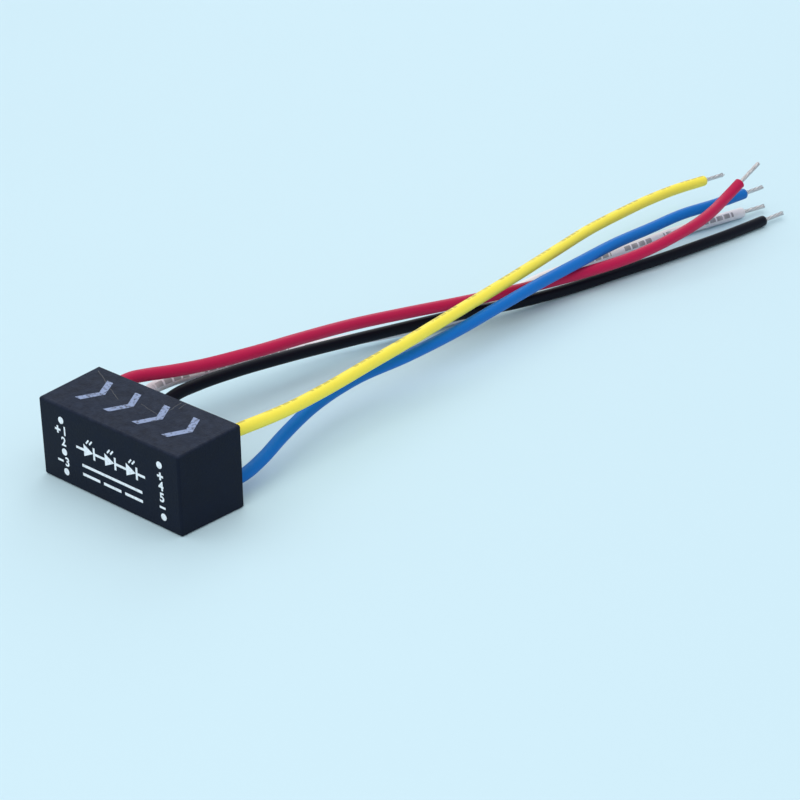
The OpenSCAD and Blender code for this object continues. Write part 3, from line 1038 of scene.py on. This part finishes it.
# Top printing
# Blue-grey ink pad-printed on the case's top: plain chevrons that point from the input to the output.
# Handling has rubbed the ink through to the plastic in many specks.
grey_ink = ink_material("grey_ink", colour=(0.24, 0.31, 0.5), wear=0.75)
chevron_w = 0.95
chevron_reach = 2.3
chevron_half = 2.35
chevron_middle = 0.3
chevron_places = (-6.6, -2.0, 2.6, 7.2)
chevrons = []
for x in chevron_places:
    nose = (x + chevron_reach / 2, chevron_middle)
    for side in (-1, 1):
        tail = (x - chevron_reach / 2, chevron_middle + side * chevron_half)
        limb = [(nose[0] - chevron_w, nose[1]), nose, (tail[0] + chevron_w, tail[1]), tail]
        chevrons.append(limb[::side])
ink_piece("flow_chevrons", chevrons, on_top, grey_ink)

# Table
# A plain pale sheet that the module lies on.
table_size = 4.0
table_drop = 0.02 * MM
table_paper, _, _ = finish_material(
    "table_paper", colour=(0.58, 0.77, 0.85), roughness=0.75, grain=0.3, patch=30.0, spread=(0.01, 0.05)
)
table_mesh = bmesh.new()
bmesh.ops.create_grid(table_mesh, x_segments=1, y_segments=1, size=table_size / 2)
table = make_object("table", table_mesh, table_paper)
table.location.z = -table_drop

# Light
# An even pale sky and a broad lamp overhead give most of it, as in a light tent. A weak lamp in front lifts
# the label face, and a small one behind puts a sheen on the upper sides of the leads.
lamp_aim = Vector((0.0, 0.05, 0.0))
sky_colour = (0.86, 0.94, 1.03, 1.0)
sky_strength = 0.59


def area_lamp(name, place, size, power, colour):
    """A square soft lamp at a place, turned to the middle of the module and its leads."""
    lamp = bpy.data.lights.new(name, "AREA")
    lamp.size = size
    lamp.energy = power
    lamp.color = colour
    holder = bpy.data.objects.new(name, lamp)
    holder.location = place
    holder.rotation_mode = "QUATERNION"
    holder.rotation_quaternion = (lamp_aim - Vector(place)).to_track_quat("-Z", "Y")
    bpy.context.scene.collection.objects.link(holder)


area_lamp("key_lamp", place=(-0.12, 0.08, 0.8), size=1.5, power=5.7, colour=(1.0, 0.95, 0.88))
area_lamp("fill_lamp", place=(0.2, -0.6, 0.45), size=0.6, power=1.8, colour=(1.0, 0.98, 0.95))
area_lamp("rim_lamp", place=(-0.38, 0.62, 0.34), size=0.35, power=0.6, colour=(0.95, 0.98, 1.0))
sky = bpy.data.worlds.new("sky")
sky.use_nodes = True
sky.node_tree.nodes["Background"].inputs["Color"].default_value = sky_colour
sky.node_tree.nodes["Background"].inputs["Strength"].default_value = sky_strength
bpy.context.scene.world = sky
bpy.context.scene.view_settings.view_transform = "Standard"

# Camera
# A short telephoto lens above the right end of the label face.
camera_place = Vector((153.17, -130.24, 108.05)) * MM
camera_azimuth = 41.53
camera_elevation = 26.08
camera_roll = -0.39
lens_pixels = 2068.2
picture_pixels = 800
half_pixel = 0.5 / picture_pixels
lens = bpy.data.cameras.new("camera")
lens.sensor_width = 36.0
lens.lens = lens.sensor_width * lens_pixels / picture_pixels
lens.clip_start = 0.01
lens.clip_end = 20.0
lens.shift_x = -half_pixel
lens.shift_y = half_pixel
camera = bpy.data.objects.new("camera", lens)
turn = Matrix.Rotation(math.radians(camera_azimuth), 4, "Z")
lift = Matrix.Rotation(math.radians(90 - camera_elevation), 4, "X")
roll = Matrix.Rotation(math.radians(camera_roll), 4, "Z")
camera.matrix_world = Matrix.Translation(camera_place) @ turn @ lift @ roll
bpy.context.scene.collection.objects.link(camera)
bpy.context.scene.camera = camera

# Last update of the objects' places
bpy.context.view_layer.update()
